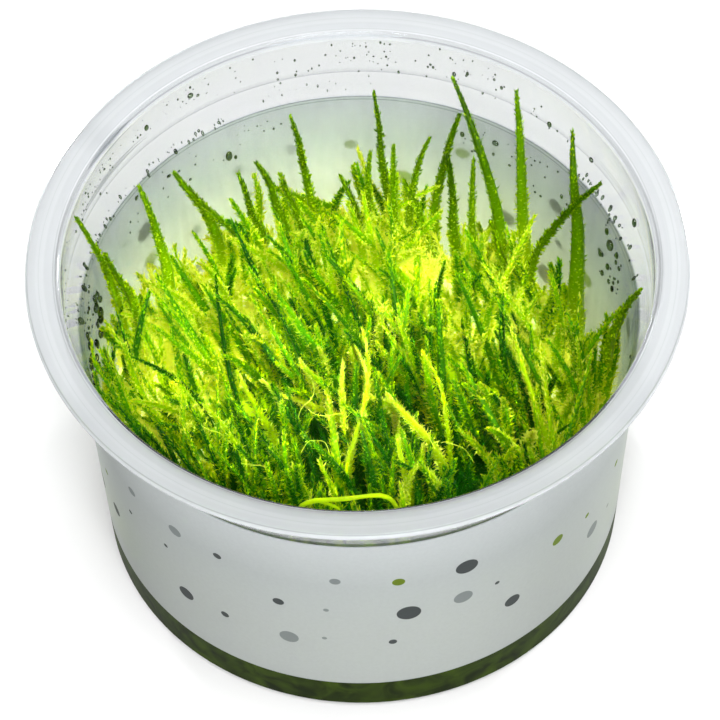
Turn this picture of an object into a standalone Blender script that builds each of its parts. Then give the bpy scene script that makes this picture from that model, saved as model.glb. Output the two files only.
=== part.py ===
# Java moss grown on nutrient gel in a small clear plastic cup with a printed sleeve.
# Metres, +Z up. The origin is the centre of the cup's foot, on the surface it stands on.
# The viewer's side is -Y. A bearing is counted in degrees from +X towards +Y, the back.
import math
import random

import bmesh
import bpy
from mathutils import Vector
from mathutils.bvhtree import BVHTree

MM = 0.001

# Cup: one moulding, with a rim flange, a collar, a shoulder and a tapered wall
CUP_HEIGHT = 60.5 * MM
RIM_RADIUS = 50.5 * MM
RIM_THICKNESS = 1.3 * MM
COLLAR_TOP_RADIUS = 45.1 * MM      # inside, just under the rounded inner edge of the flange
COLLAR_FOOT_RADIUS = 44.7 * MM
COLLAR_FOOT_Z = 51.7 * MM
LIP_ROUNDING = 1.3 * MM
WALL_TOP_Z = 47.9 * MM
WALL_TOP_RADIUS = 43.0 * MM        # outside of the tapered wall, under the shoulder
WALL_FOOT_RADIUS = 39.6 * MM
WALL = 0.7 * MM
FOOT_ROUNDING = 1.0 * MM
INNER_CORNER = 1.5 * MM
FLOOR_TOP_Z = 1.3 * MM
FOOT_RING_INNER_RADIUS = 34.0 * MM
FOOT_RECESS = 0.5 * MM
ROUND_SEGMENTS = 64

# Label: a film sleeve round the tapered wall, from just over the rounded foot to the shoulder
LABEL_BOTTOM_Z = 1.0 * MM
LABEL_TOP_Z = 47.6 * MM
LABEL_THICKNESS = 0.2 * MM

# Gap left between pieces that touch
CONTACT_GAP = 0.3 * MM

# Gel: the jelly in the bottom of the cup
GEL_TOP_Z = 12.0 * MM

# Moss mat: a square grid of cells, rounded to the cup, with a shoot on each inner cell
MAT_CELLS = 12
MAT_WALL_GAP = 0.4 * MM
MAT_EDGE_Z = 19.5 * MM
MAT_CROWN_Z = 24.5 * MM
MAT_EDGE_SOFTNESS = 8.0 * MM
MAT_FRONT_RISE = 3.0 * MM
MAT_LEFT_RISE = 3.5 * MM
MAT_BACK_FALL = 2.0 * MM
MAT_LUMP = 0.8 * MM
MAT_JITTER = 1.3 * MM               # how far a cell's corner strays from the grid
SHOOT_FOOT_INSET = (0.8 * MM, 1.5 * MM)
SHOOT_LENGTH = (13.0 * MM, 19.0 * MM)
SHOOT_TOP_Z = 44.0 * MM
SHOOT_STEPS = 2
SHOOT_TIP_SIDE = 1.1 * MM
SHOOT_LEAN_LEFT = ((-37 * MM, 0.12), (-20 * MM, 0.34), (0.0, 0.22), (30 * MM, 0.02))
SHOOT_LEAN_BACK = ((-35 * MM, 0.45), (0.0, 0.25), (30 * MM, -0.05))
SHOOT_SPREAD = 0.09
SHOOT_TRIES = 8                     # leans tried before a cell near a stem stays bare
SHOOT_WALL_GAP = 1.2 * MM
STEM_CLEARANCE = 3.4 * MM
STEM_GAP = 0.6 * MM                 # least gap between a leaning shoot and a stem
SEED = 11

# Long stems, left to right along the wall: bearing and radius of the foot, then
# bearing, radius and height of the tip (degrees and millimetres)
LONG_STEMS = (
    (160, 38.9, 166, 44.0, 60),
    (164, 35.5, 168, 39.5, 54),
    (148, 34.5, 145, 41.0, 51),
    (128, 34.5, 135, 40.0, 48),
    (123, 30.5, 133, 36.5, 43),
    (117, 32.5, 120, 36.5, 43),
    (110, 32.0, 115, 36.5, 44),
    (105, 31.5, 109, 35.0, 39),
    (101, 35.0, 106, 35.5, 54),
    (88, 30.5, 94, 34.0, 39),
    (82, 36.0, 85, 37.0, 56),
    (87, 33.0, 86, 35.5, 43),
    (79, 31.5, 80, 35.5, 45),
    (69, 32.0, 77, 33.5, 39),
    (77, 35.0, 72, 38.0, 45),
    (62, 33.5, 66, 35.5, 46),
    (49, 35.5, 68, 41.5, 57),
    (70, 35.5, 65, 39.0, 52),
    (56, 33.0, 59, 36.0, 46),
    (45, 33.5, 53, 35.0, 34),
    (46, 38.5, 54, 43.0, 58),
    (27, 38.5, 39, 43.4, 57),
    (40, 35.5, 26, 42.2, 55),
    (8, 38.5, -4, 43.0, 56),
)
STEM_FOOT_RADIUS = 0.85 * MM
STEM_TIP_RADIUS = 0.4 * MM
STEM_STRAIGHT_SHARE = 0.45         # how much of its height a stem rises before it leans
STEM_POINTS = 6

# Arching stem at the front, just inside the rim: its two feet, which the turf carries, and the
# points that it bends over
ARCH_ROUTE = (
    (-11.5, -33.5, 34.0),
    (-9.5, -35.5, 42.0),
    (-6.5, -36.5, 46.5),
    (-1.0, -35.5, 48.0),
    (4.5, -36.0, 48.0),
    (8.0, -36.0, 43.5),
    (10.0, -33.5, 34.0),
)
ARCH_RADIUS = 0.7 * MM
ARCH_POINTS = 12


def clear_scene():
    for item in list(bpy.data.objects):
        bpy.data.objects.remove(item, do_unlink=True)


def make_material(name, color, roughness, alpha=1.0):
    material = bpy.data.materials.new(name)
    material.use_nodes = True
    shader = material.node_tree.nodes["Principled BSDF"]
    shader.inputs["Base Color"].default_value = (*color, 1.0)
    shader.inputs["Roughness"].default_value = roughness
    shader.inputs["Metallic"].default_value = 0.0
    shader.inputs["Alpha"].default_value = alpha
    material.diffuse_color = (*color, alpha)
    return material


def link_object(name, data, material):
    item = bpy.data.objects.new(name, data)
    bpy.context.collection.objects.link(item)
    data.materials.append(material)
    return item


def outer_wall_radius(z):
    taper = (WALL_TOP_RADIUS - WALL_FOOT_RADIUS) / WALL_TOP_Z
    return WALL_FOOT_RADIUS + taper * z


def inner_wall_radius(z):
    """Radius of the cup's hollow at height z."""
    if z <= WALL_TOP_Z:
        return outer_wall_radius(z) - WALL
    if z <= COLLAR_FOOT_Z:
        share = (z - WALL_TOP_Z) / (COLLAR_FOOT_Z - WALL_TOP_Z)
        return WALL_TOP_RADIUS - WALL + share * (COLLAR_FOOT_RADIUS - WALL_TOP_RADIUS + WALL)
    share = min(1.0, (z - COLLAR_FOOT_Z) / (CUP_HEIGHT - LIP_ROUNDING - COLLAR_FOOT_Z))
    return COLLAR_FOOT_RADIUS + share * (COLLAR_TOP_RADIUS - COLLAR_FOOT_RADIUS)


def arc(center, radius, start, end, steps):
    """Points of an arc in the profile plane, angles in degrees."""
    angles = [math.radians(start + (end - start) * i / steps) for i in range(steps + 1)]
    return [(center[0] + radius * math.cos(a), center[1] + radius * math.sin(a)) for a in angles]


def turned_object(name, profile, closed, material):
    """A solid of revolution. The profile runs up the hollow's side and down the outer side."""
    mesh = bpy.data.meshes.new(name)
    points = [(radius, 0.0, z) for radius, z in profile]
    edges = [(i, i + 1) for i in range(len(points) - 1)]
    if closed:
        edges.append((len(points) - 1, 0))
    mesh.from_pydata(points, edges, [])
    item = link_object(name, mesh, material)
    screw = item.modifiers.new("turn", "SCREW")
    screw.axis = "Z"
    screw.angle = math.tau
    screw.steps = ROUND_SEGMENTS
    screw.render_steps = ROUND_SEGMENTS
    screw.use_merge_vertices = True
    screw.merge_threshold = 0.00001
    screw.use_smooth_shade = True
    return item


def make_cup():
    clear_plastic = make_material("clear_polypropylene", (0.86, 0.89, 0.90), 0.25, 0.45)
    corner_radius = inner_wall_radius(FLOOR_TOP_Z + INNER_CORNER)
    edge_radius = RIM_THICKNESS / 2
    lip_center = (COLLAR_TOP_RADIUS + LIP_ROUNDING, CUP_HEIGHT - LIP_ROUNDING)
    edge_center = (RIM_RADIUS - edge_radius, CUP_HEIGHT - edge_radius)
    foot_center = (outer_wall_radius(FOOT_ROUNDING) - FOOT_ROUNDING, FOOT_ROUNDING)
    under_rim_z = CUP_HEIGHT - RIM_THICKNESS

    profile = [(0.0, FLOOR_TOP_Z)]
    profile += arc((corner_radius - INNER_CORNER, FLOOR_TOP_Z + INNER_CORNER), INNER_CORNER, -90, 0, 2)
    profile += [(WALL_TOP_RADIUS - WALL, WALL_TOP_Z), (COLLAR_FOOT_RADIUS, COLLAR_FOOT_Z)]
    profile += arc(lip_center, LIP_ROUNDING, 180, 90, 2)
    profile += arc(edge_center, edge_radius, 90, -90, 4)
    profile += [
        (COLLAR_TOP_RADIUS + WALL + 0.6 * MM, under_rim_z),
        (COLLAR_TOP_RADIUS + WALL, under_rim_z - 0.6 * MM),
        (COLLAR_FOOT_RADIUS + WALL, COLLAR_FOOT_Z - 0.3 * MM),
        (WALL_TOP_RADIUS, WALL_TOP_Z),
    ]
    profile += arc(foot_center, FOOT_ROUNDING, 0, -90, 2)
    profile += [
        (FOOT_RING_INNER_RADIUS, 0.0),
        (FOOT_RING_INNER_RADIUS - FOOT_RECESS, FOOT_RECESS),
        (0.0, FOOT_RECESS),
    ]
    return turned_object("cup", profile, False, clear_plastic)


def make_label():
    film = make_material("printed_film", (0.78, 0.80, 0.81), 0.35)
    inner_bottom = outer_wall_radius(LABEL_BOTTOM_Z) + CONTACT_GAP
    inner_top = outer_wall_radius(LABEL_TOP_Z) + CONTACT_GAP
    profile = [
        (inner_bottom, LABEL_BOTTOM_Z),
        (inner_top, LABEL_TOP_Z),
        (inner_top + LABEL_THICKNESS, LABEL_TOP_Z),
        (inner_bottom + LABEL_THICKNESS, LABEL_BOTTOM_Z),
    ]
    return turned_object("label", profile, True, film)


def make_gel():
    jelly = make_material("nutrient_gel", (0.30, 0.36, 0.12), 0.15, 0.7)
    bottom_z = FLOOR_TOP_Z + CONTACT_GAP
    corner_z = bottom_z + INNER_CORNER
    profile = [
        (0.0, GEL_TOP_Z),
        (inner_wall_radius(GEL_TOP_Z) - CONTACT_GAP, GEL_TOP_Z),
        (inner_wall_radius(corner_z) - CONTACT_GAP, corner_z),
        (inner_wall_radius(bottom_z) - CONTACT_GAP - INNER_CORNER, bottom_z),
        (0.0, bottom_z),
    ]
    return turned_object("gel", profile, False, jelly)


def square_to_disc(u, v):
    """Maps a square of side 2 onto a disc of radius 1."""
    return Vector((u * math.sqrt(1 - v * v / 2), v * math.sqrt(1 - u * u / 2)))


def turf_height(x, y):
    """Height of the turf between its shoots, without its lumps."""
    room = inner_wall_radius(MAT_EDGE_Z) - MAT_WALL_GAP
    distance_to_wall = max(0.0, room - math.hypot(x, y))
    softness = min(1.0, distance_to_wall / MAT_EDGE_SOFTNESS)
    swell = math.sin(softness * math.pi / 2)
    slope = MAT_LEFT_RISE * (-x / room)
    slope += MAT_FRONT_RISE * max(0.0, -y / room) - MAT_BACK_FALL * max(0.0, y / room)
    return MAT_EDGE_Z + (MAT_CROWN_Z - MAT_EDGE_Z) * swell + slope


def polar(bearing, radius, z):
    angle = math.radians(bearing)
    return Vector((radius * math.cos(angle), radius * math.sin(angle), z))


def stem_ends(stem):
    foot_bearing, foot_radius, tip_bearing, tip_radius, tip_z = stem
    foot = polar(foot_bearing, foot_radius * MM, 0.0)
    foot.z = turf_height(foot.x, foot.y)
    return foot, polar(tip_bearing, tip_radius * MM, tip_z * MM)


def stem_middle(foot, tip):
    """Points along the middle of a stem, which rises straight and then leans."""
    bend = foot + Vector((0.0, 0.0, STEM_STRAIGHT_SHARE * (tip.z - foot.z)))
    shares = [step / (STEM_POINTS - 1) for step in range(STEM_POINTS)]
    return [foot.lerp(bend, share).lerp(bend.lerp(tip, share), share) for share in shares]


def stem_places():
    """Places all along the long stems and the arching stem, which the mat's shoots keep clear of."""
    lines = [stem_middle(*stem_ends(stem)) for stem in LONG_STEMS]
    arch = [Vector(corner) * MM for corner in ARCH_ROUTE]
    arch = [arch[0] - Vector((0, 0, MAT_EDGE_Z / 2)), *arch, arch[-1] - Vector((0, 0, MAT_EDGE_Z / 2))]
    lines.append(arch)
    places = []
    for line in lines:
        for start, end in zip(line, line[1:]):
            places += [start, start.lerp(end, 0.33), start.lerp(end, 0.67)]
        places.append(line[-1])
    return places


def between(value, table):
    """Reads a value from a table of (place, value) rows, straight between them."""
    if value <= table[0][0]:
        return table[0][1]
    for (start, low), (end, high) in zip(table, table[1:]):
        if value <= end:
            return low + (high - low) * (value - start) / (end - start)
    return table[-1][1]


def keep_off_wall(point):
    """Pulls a shoot's point in towards the middle where it would touch the cup."""
    room = inner_wall_radius(point.z) - SHOOT_WALL_GAP
    distance = point.xy.length
    if distance > room:
        point.xy *= room / distance
    return point


def shoot_point(foot, tip_offset, share):
    level = Vector((tip_offset.x * share ** 1.4, tip_offset.y * share ** 1.4, tip_offset.z * share))
    return keep_off_wall(foot + level)


def shoot_lean(foot, rng):
    lean_left = between(foot.x, SHOOT_LEAN_LEFT) + rng.uniform(-SHOOT_SPREAD, SHOOT_SPREAD)
    lean_back = between(foot.y, SHOOT_LEAN_BACK) + rng.uniform(-SHOOT_SPREAD, SHOOT_SPREAD)
    length = min(rng.uniform(*SHOOT_LENGTH), SHOOT_TOP_Z - foot.z)
    return Vector((-lean_left, lean_back, 1.0)) * length


def free_of_stems(foot, foot_side, tip_offset, places):
    for share in (0.2, 0.4, 0.6, 0.8, 1.0):
        point = shoot_point(foot, tip_offset, share)
        half_side = (foot_side + (SHOOT_TIP_SIDE - foot_side) * share) * 0.7
        least = half_side + STEM_FOOT_RADIUS + STEM_GAP
        if any((place - point).length < least for place in places):
            return False
    return True


def grow_shoot(bm, face, tip_offset):
    """Pulls a tapered, slightly bowed shoot out of one face of the mat."""
    foot = face.calc_center_median()
    foot_side = math.sqrt(face.calc_area())
    for step in range(1, SHOOT_STEPS + 1):
        share = step / SHOOT_STEPS
        face = bmesh.ops.extrude_discrete_faces(bm, faces=[face])["faces"][0]
        center = face.calc_center_median()
        side = foot_side + (SHOOT_TIP_SIDE - foot_side) * share
        previous_side = math.sqrt(face.calc_area())
        target = shoot_point(foot, tip_offset, share)
        for vert in face.verts:
            vert.co = target + (vert.co - center) * (side / previous_side)


def make_moss_mat():
    rng = random.Random(SEED)
    green = make_material("moss_turf", (0.16, 0.42, 0.02), 0.7)
    bm = bmesh.new()
    bmesh.ops.create_grid(bm, x_segments=MAT_CELLS, y_segments=MAT_CELLS, size=1.0)
    room = inner_wall_radius(MAT_EDGE_Z) - MAT_WALL_GAP
    for vert in bm.verts:
        vert.co.xy = square_to_disc(vert.co.x, vert.co.y) * room
        if not vert.is_boundary:
            vert.co.x += rng.uniform(-MAT_JITTER, MAT_JITTER)
            vert.co.y += rng.uniform(-MAT_JITTER, MAT_JITTER)
            vert.co.z = rng.uniform(-MAT_LUMP, MAT_LUMP)
        vert.co.z += turf_height(vert.co.x, vert.co.y)

    places = stem_places()
    low_places = [place for place in places if place.z < MAT_CROWN_Z + 2 * SHOOT_TIP_SIDE]
    cells = []
    for face in bm.faces:
        center = face.calc_center_median()
        if all((place.xy - center.xy).length > STEM_CLEARANCE for place in low_places):
            cells.append(face)

    # The body of the mat: the turf's outline carried down the wall and onto the gel
    wall_top = [edge for edge in bm.edges if edge.is_boundary]
    bottom_z = GEL_TOP_Z + CONTACT_GAP
    sides = bmesh.ops.extrude_edge_only(bm, edges=wall_top)["geom"]
    bottom_edges = [item for item in sides if isinstance(item, bmesh.types.BMEdge)]
    bottom_verts = [item for item in sides if isinstance(item, bmesh.types.BMVert)]
    for vert in bottom_verts:
        vert.co.xy *= (inner_wall_radius(bottom_z) - MAT_WALL_GAP) / room
        vert.co.z = bottom_z
    rim_of_bottom = [edge for edge in bottom_edges if edge.is_boundary]
    bmesh.ops.contextual_create(bm, geom=rim_of_bottom)
    bmesh.ops.recalc_face_normals(bm, faces=bm.faces)

    for face in cells:
        inset = rng.uniform(*SHOOT_FOOT_INSET)
        foot = face.calc_center_median()
        foot_side = math.sqrt(face.calc_area()) - 2 * inset
        for _ in range(SHOOT_TRIES):
            tip_offset = shoot_lean(foot, rng)
            if free_of_stems(foot, foot_side, tip_offset, places):
                bmesh.ops.inset_individual(bm, faces=[face], thickness=inset, use_even_offset=True)
                grow_shoot(bm, face, tip_offset)
                break

    mesh = bpy.data.meshes.new("moss_mat")
    bm.to_mesh(mesh)
    bm.free()
    return link_object("moss_mat", mesh, green)


def tube_object(name, points, radii, material):
    """A thin stem as a bevelled curve through the points, with closed ends."""
    curve = bpy.data.curves.new(name, "CURVE")
    curve.dimensions = "3D"
    curve.bevel_depth = 1.0
    curve.bevel_resolution = 1
    curve.use_fill_caps = True
    spline = curve.splines.new("POLY")
    spline.points.add(len(points) - 1)
    for spline_point, place, radius in zip(spline.points, points, radii):
        spline_point.co = (*place, 1.0)
        spline_point.radius = radius
    return link_object(name, curve, material)


def highest_under(tree, place, radius):
    """Height of the highest turf under a foot of this radius."""
    top = 0.0
    for turn in range(8):
        angle = math.tau * turn / 8
        above = Vector((place.x + radius * math.cos(angle), place.y + radius * math.sin(angle), CUP_HEIGHT))
        hit = tree.ray_cast(above, Vector((0.0, 0.0, -1.0)))[0]
        if hit is not None:
            top = max(top, hit.z)
    return top


def make_long_stems(mat):
    green = make_material("moss_stem", (0.10, 0.33, 0.01), 0.65)
    tree = BVHTree.FromObject(mat, bpy.context.evaluated_depsgraph_get())
    for number, stem in enumerate(LONG_STEMS, start=1):
        foot, tip = stem_ends(stem)
        foot.z = highest_under(tree, foot, STEM_FOOT_RADIUS * 1.2) + CONTACT_GAP
        points = stem_middle(foot, tip)
        taper = (STEM_TIP_RADIUS - STEM_FOOT_RADIUS) / (STEM_POINTS - 1)
        radii = [STEM_FOOT_RADIUS + taper * step for step in range(STEM_POINTS)]
        tube_object(f"moss_stem_{number:02d}", points, radii, green)


def smooth_route(corners, count):
    """Points along a smooth curve through the corners (Catmull-Rom)."""
    ends = [corners[0] * 2 - corners[1], *corners, corners[-1] * 2 - corners[-2]]
    spans = len(corners) - 1
    points = []
    for index in range(count):
        along = spans * index / (count - 1)
        span = min(int(along), spans - 1)
        t = along - span
        before, start, end, after = ends[span:span + 4]
        turn_in = (end - before) / 2
        turn_out = (after - start) / 2
        point = start * (2 * t ** 3 - 3 * t ** 2 + 1) + turn_in * (t ** 3 - 2 * t ** 2 + t)
        point += end * (3 * t ** 2 - 2 * t ** 3) + turn_out * (t ** 3 - t ** 2)
        points.append(point)
    return points


def make_arching_stem(mat):
    pale = make_material("moss_pale_stem", (0.55, 0.75, 0.05), 0.55)
    corners = [Vector(corner) * MM for corner in ARCH_ROUTE]
    tree = BVHTree.FromObject(mat, bpy.context.evaluated_depsgraph_get())
    for foot in (corners[0], corners[-1]):
        foot.z = highest_under(tree, foot, ARCH_RADIUS * 1.2) + CONTACT_GAP
    points = smooth_route(corners, ARCH_POINTS)
    return tube_object("arching_stem", points, [ARCH_RADIUS] * len(points), pale)


def main():
    clear_scene()
    make_cup()
    make_label()
    make_gel()
    mat = make_moss_mat()
    make_long_stems(mat)
    make_arching_stem(mat)


main()
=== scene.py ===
import math

import bpy
import numpy as np
from mathutils import Matrix, Vector


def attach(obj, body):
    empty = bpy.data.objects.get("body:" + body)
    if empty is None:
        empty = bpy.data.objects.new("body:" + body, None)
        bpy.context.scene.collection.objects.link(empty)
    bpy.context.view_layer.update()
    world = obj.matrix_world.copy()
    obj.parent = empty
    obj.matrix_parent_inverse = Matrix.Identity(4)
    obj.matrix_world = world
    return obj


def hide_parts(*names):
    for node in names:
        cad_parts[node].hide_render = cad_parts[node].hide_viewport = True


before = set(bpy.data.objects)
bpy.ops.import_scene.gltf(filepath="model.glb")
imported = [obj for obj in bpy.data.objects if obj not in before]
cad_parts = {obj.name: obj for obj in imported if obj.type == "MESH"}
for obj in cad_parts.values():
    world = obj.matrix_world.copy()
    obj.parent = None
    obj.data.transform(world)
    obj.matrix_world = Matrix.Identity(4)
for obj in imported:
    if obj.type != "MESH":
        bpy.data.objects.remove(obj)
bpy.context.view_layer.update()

mm = 0.001

# Camera, at the photograph's angle
cameraSet = {
    "place": (0, -593.7, 834.6),    # 1 m from the cup, 53.6 degrees above the table
    "aim": (0, 2.94, 32.17),
    "lens": 321.9,
    "sensor": 36,
    "roll": -1.49,                  # degrees; the cup's right side stands a little high
}


def placeCamera():
    data = bpy.data.cameras.new("studioCamera")
    data.lens = cameraSet["lens"]
    data.sensor_width = cameraSet["sensor"]
    data.clip_start = 0.05
    item = bpy.data.objects.new("studioCamera", data)
    bpy.context.scene.collection.objects.link(item)
    place = Vector(cameraSet["place"]) * mm
    sight = Vector(cameraSet["aim"]) * mm - place
    item.rotation_mode = "QUATERNION"
    turn = Matrix.Rotation(math.radians(cameraSet["roll"]), 4, "Z").to_quaternion()
    item.rotation_quaternion = sight.to_track_quat("-Z", "Y") @ turn
    item.location = place
    bpy.context.scene.camera = item


placeCamera()
print("camera placed")


# Helpers for materials
def tone(hexColour):
    parts = [int(hexColour[i:i + 2], 16) / 255 for i in (1, 3, 5)]
    return (*[p / 12.92 if p <= 0.04045 else ((p + 0.055) / 1.055) ** 2.4 for p in parts], 1.0)


def newMaterial(name):
    material = bpy.data.materials.new(name)
    material.use_nodes = True
    tree = material.node_tree
    return material, tree, tree.nodes["Principled BSDF"]


# Adds a node, sets its settings, and fills or links its inputs. A node that is given as an input
# is linked from the first of its outputs that is in use
def addNode(tree, kind, inputs=None, **settings):
    node = tree.nodes.new("ShaderNode" + kind)
    for key, value in settings.items():
        setattr(node, key, value)
    for socket, value in (inputs or {}).items():
        if isinstance(value, bpy.types.Node):
            value = next(output for output in value.outputs if output.enabled)
        if isinstance(value, bpy.types.NodeSocket):
            tree.links.new(value, node.inputs[socket])
        else:
            node.inputs[socket].default_value = value
    return node


def fillRamp(node, stops):
    ramp = node.color_ramp
    while len(ramp.elements) < len(stops):
        ramp.elements.new(0.5)
    for element, (place, colour) in zip(ramp.elements, stops):
        element.position = place
        element.color = tone(colour)


# Ends a material of a thin leaf or film, which lets a share of the light through in its colour
def letThrough(tree, shader, colour, share):
    through = addNode(tree, "BsdfTranslucent", {"Color": colour})
    mix = addNode(tree, "MixShader", {"Fac": share, 1: shader, 2: through})
    tree.links.new(mix.outputs["Shader"], tree.nodes["Material Output"].inputs["Surface"])


# Materials
clearPlastic = {
    "wall": {"tint": "#E4E6E7", "clearness": 0.95, "roughness": 0.1},
    "flange": {"tint": "#DEE1E3", "clearness": 0.62, "roughness": 0.15},   # thicker, so milkier
    "ior": 1.49,
    "glint": "#9AA2A8",   # tint of the reflections
    "flowMark": 9,        # mm from one faint wave of the moulded skin to the next
    "flowDepth": 0.2,
    "flowStrength": 0.25,
    "turnMark": 0.5,      # mm between the fine rings that the mould's turned steel leaves
    "turnDepth": 0.05,
    "turnStrength": 0.3,
    # Painted shade lines: thin darker lines painted where the moulded corners and bends show dark by
    # refraction and shade: measured along, where, half width (mm) and how dark; one that is a crescent also
    # has its bearing and half length (degrees)
    "edges": [
        ("height", 47.9, 0.1, 0.95, None),
        ("radius", 45.35, 0.1, 0.6, None),
        ("radius", 46.2, 0.12, 0.3, None),
        ("radius", 48.4, 0.1, 0.12, None),
        ("radius", 50.2, 0.12, 0.4, None),
        ("height", 53.7, 0.75, 0.75, (149, 14)),
        ("height", 59.0, 0.35, 0.9, (146, 8)),
        ("height", 53.2, 0.5, 0.4, (24, 16)),
    ],
    "shadeLineTone": "#56636A",
    "band": 1.4,          # mm, faint paler and darker bands round the moulding
    "bandDepth": 0.06,
}


# Polypropylene, injection moulded: clear with a little milk in it, glossy, faintly wavy
def mouldedPolypropylene(name, look):
    material, tree, shader = newMaterial(name)
    shader.inputs["Transmission Weight"].default_value = look["clearness"]
    shader.inputs["IOR"].default_value = clearPlastic["ior"]
    shader.inputs["Specular Tint"].default_value = tone(clearPlastic["glint"])
    shader.inputs["Roughness"].default_value = look["roughness"]
    place = addNode(tree, "TexCoord").outputs["Object"]
    level = addNode(tree, "VectorMath", {0: place, 1: (1, 1, 0)}, operation="MULTIPLY")
    radius = addNode(tree, "VectorMath", {0: level}, operation="LENGTH")
    across, back, height = addNode(tree, "SeparateXYZ", {"Vector": place}).outputs
    bearing = addNode(tree, "Math", {0: back, 1: across}, operation="ARCTAN2")
    colour = tone(look["tint"])
    # Painted shade: dark lines and crescents painted into the colour at the corners and bends
    for axis, middle, half, dark, crescent in clearPlastic["edges"]:
        measure = radius if axis == "radius" else height
        away = addNode(tree, "Math", {0: measure, 1: middle * mm}, operation="SUBTRACT")
        away = addNode(tree, "Math", {0: away}, operation="ABSOLUTE")
        if crescent:   # narrower and narrower towards its ends
            centre, reach = math.radians(crescent[0]), math.radians(crescent[1])
            turned = addNode(tree, "Math", {0: bearing, 1: centre}, operation="SUBTRACT")
            turned = addNode(tree, "Math", {0: turned}, operation="ABSOLUTE")
            share = addNode(tree, "Math", {0: turned, 1: -1 / reach, 2: 1.0}, operation="MULTIPLY_ADD")
            share = addNode(tree, "Math", {0: share, 1: 0.001}, operation="MAXIMUM")
            away = addNode(tree, "Math", {0: away, 1: share}, operation="DIVIDE")
        line = addNode(tree, "MapRange", {
            "Value": away, "From Min": 0.0, "From Max": half * mm, "To Min": dark, "To Max": 0.0,
        })
        colour = addNode(tree, "Mix", {
            "Factor": line, "A": colour, "B": tone(clearPlastic["shadeLineTone"]),
        }, data_type="RGBA")
    bands = addNode(tree, "TexNoise", {
        "W": radius, "Scale": 1 / (clearPlastic["band"] * mm), "Detail": 2.0,
    }, noise_dimensions="1D")
    shade = addNode(tree, "MapRange", {
        "Value": bands, "From Min": 0.35, "From Max": 0.65,
        "To Min": 1 - clearPlastic["bandDepth"], "To Max": 1 + clearPlastic["bandDepth"] / 4,
    })
    colour = addNode(tree, "VectorMath", {0: colour, "Scale": shade}, operation="SCALE")
    tree.links.new(colour.outputs["Vector"], shader.inputs["Base Color"])
    waves = addNode(tree, "TexNoise", {
        "Vector": place, "Scale": 1 / (clearPlastic["flowMark"] * mm), "Detail": 2.0,
    })
    rings = addNode(tree, "TexNoise", {
        "W": radius, "Scale": 1 / (clearPlastic["turnMark"] * mm), "Detail": 1.0,
    }, noise_dimensions="1D")
    skin = addNode(tree, "Bump", {
        "Height": waves, "Strength": clearPlastic["flowStrength"],
        "Distance": clearPlastic["flowDepth"] * mm,
    })
    skin = addNode(tree, "Bump", {
        "Height": rings, "Strength": clearPlastic["turnStrength"],
        "Distance": clearPlastic["turnDepth"] * mm, "Normal": skin,
    })
    tree.links.new(skin.outputs["Normal"], shader.inputs["Normal"])
    return material


sleeveFilm = {
    # Colours by mm above the table, and a mottle: its grain in mm, how much that is squeezed
    # upright, and how dark it gets. The outside has a fine mottle, the back streaks of dried mist
    "outside": {
        # painted light: the outside is paler towards its top, where more light falls on it
        "stops": [(0, "#BEC2C5"), (36, "#BEC2C5"), (46, "#D0D4D6")],
        "grain": 0.6, "upright": 1, "depth": 0.04, "dotted": True,
    },
    "back": {
        # painted light: the back is paler and yellow-green low down, for light that comes through the film
        # and green light from the moss
        "stops": [(22, "#F8FFC8"), (31, "#EAF4CA"), (38, "#CDD7BE"), (46, "#B2B8B0")],
        "grain": 1.3, "upright": 0.15, "depth": 0.1, "dotted": False,
    },
    "band": [(0.3, "#1C2A00"), (0.75, "#425808")],   # greens of the band along the foot
    "bandTop": 7.1,       # mm above the table
    "bandLeaf": 5.0,      # mm, the blurred mottle of the band
    "dots": [(0.0, "#4A4F50"), (0.45, "#8A9092"), (0.75, "#6E8420")],   # share, colour
    "dotSpacing": 9.0,    # mm
    "dotChance": 0.5,     # how far dots stray from even spacing, 0 to 1
    "dotRadius": (0.4, 2.1),
    "dotHeights": (14.0, 40.0),
    "dotShare": 0.6,      # of the places that hold a dot
    "radius": 41.5,       # mm, of the film halfway up
    "roughness": 0.35,
    "shine": 0.12,
    "glow": 0.6,          # share of the light that it lets through
}


# Prints scattered round dots; flat is the film laid out flat, with its seam at the far left
def addDots(tree, flat, printed):
    spacing = sleeveFilm["dotSpacing"] * mm
    smallest, largest = sleeveFilm["dotRadius"]
    lowest, highest = sleeveFilm["dotHeights"]
    cells = addNode(tree, "TexVoronoi", {
        "Vector": flat, "Scale": 1 / spacing, "Randomness": sleeveFilm["dotChance"],
    }, voronoi_dimensions="2D")
    red, green, blue = addNode(tree, "SeparateColor", {"Color": cells.outputs["Color"]}).outputs
    middle = addNode(tree, "SeparateXYZ", {"Vector": cells.outputs["Position"]})
    size = addNode(tree, "Math", {0: red, 1: 2.0}, operation="POWER")   # most dots are small
    radius = addNode(tree, "MapRange", {
        "Value": size, "To Min": smallest * mm / spacing, "To Max": largest * mm / spacing,
    })
    inDot = addNode(tree, "Math", {0: cells.outputs["Distance"], 1: radius}, operation="LESS_THAN")
    chosen = addNode(tree, "Math", {0: green, 1: sleeveFilm["dotShare"]}, operation="LESS_THAN")
    offSeam = addNode(tree, "Math", {
        0: middle.outputs["X"], 1: 0.0, 2: (math.pi * sleeveFilm["radius"] - largest) * mm,
    }, operation="COMPARE")
    inReach = addNode(tree, "Math", {
        0: middle.outputs["Y"], 1: (lowest + highest) / 2 * mm, 2: (highest - lowest) / 2 * mm,
    }, operation="COMPARE")
    for part in (chosen, offSeam, inReach):
        inDot = addNode(tree, "Math", {0: inDot, 1: part}, operation="MULTIPLY")
    colour = addNode(tree, "ValToRGB", {"Fac": blue})
    colour.color_ramp.interpolation = "CONSTANT"
    fillRamp(colour, sleeveFilm["dots"])
    return addNode(tree, "Mix", {"Factor": inDot, "A": printed, "B": colour}, data_type="RGBA")


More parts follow.
